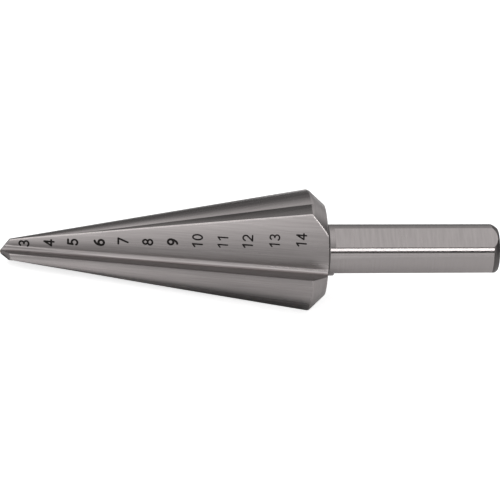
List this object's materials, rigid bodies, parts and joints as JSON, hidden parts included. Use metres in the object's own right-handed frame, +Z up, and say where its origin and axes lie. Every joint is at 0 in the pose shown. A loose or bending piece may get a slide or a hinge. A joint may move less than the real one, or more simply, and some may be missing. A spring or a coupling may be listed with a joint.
{
  "type": "cone drill bit",
  "caption": "Tapered fluted cutter that drills and opens round holes in sheet metal, on a round shank with flats for a drill chuck.",
  "frame": {"origin": "centre of the bounding box's bottom, on the surface that the tool lies on", "axes": "+X along the tool towards the shank, +Z up; the tool lies on its side across the two edges of one flute, with its shank raised by 7.5 degrees, and its axis stays in the plane of X and Z"},
  "size_m": [0.0578, 0.0142, 0.0128],
  "materials": {
    "ground_steel": "finely ground bare tool steel, bright, with grinding lines along the cone and across the shank's flats"
  },
  "bodies": {
    "root": {"cone_drill": "ground_steel"}
  },
  "joints": []
}
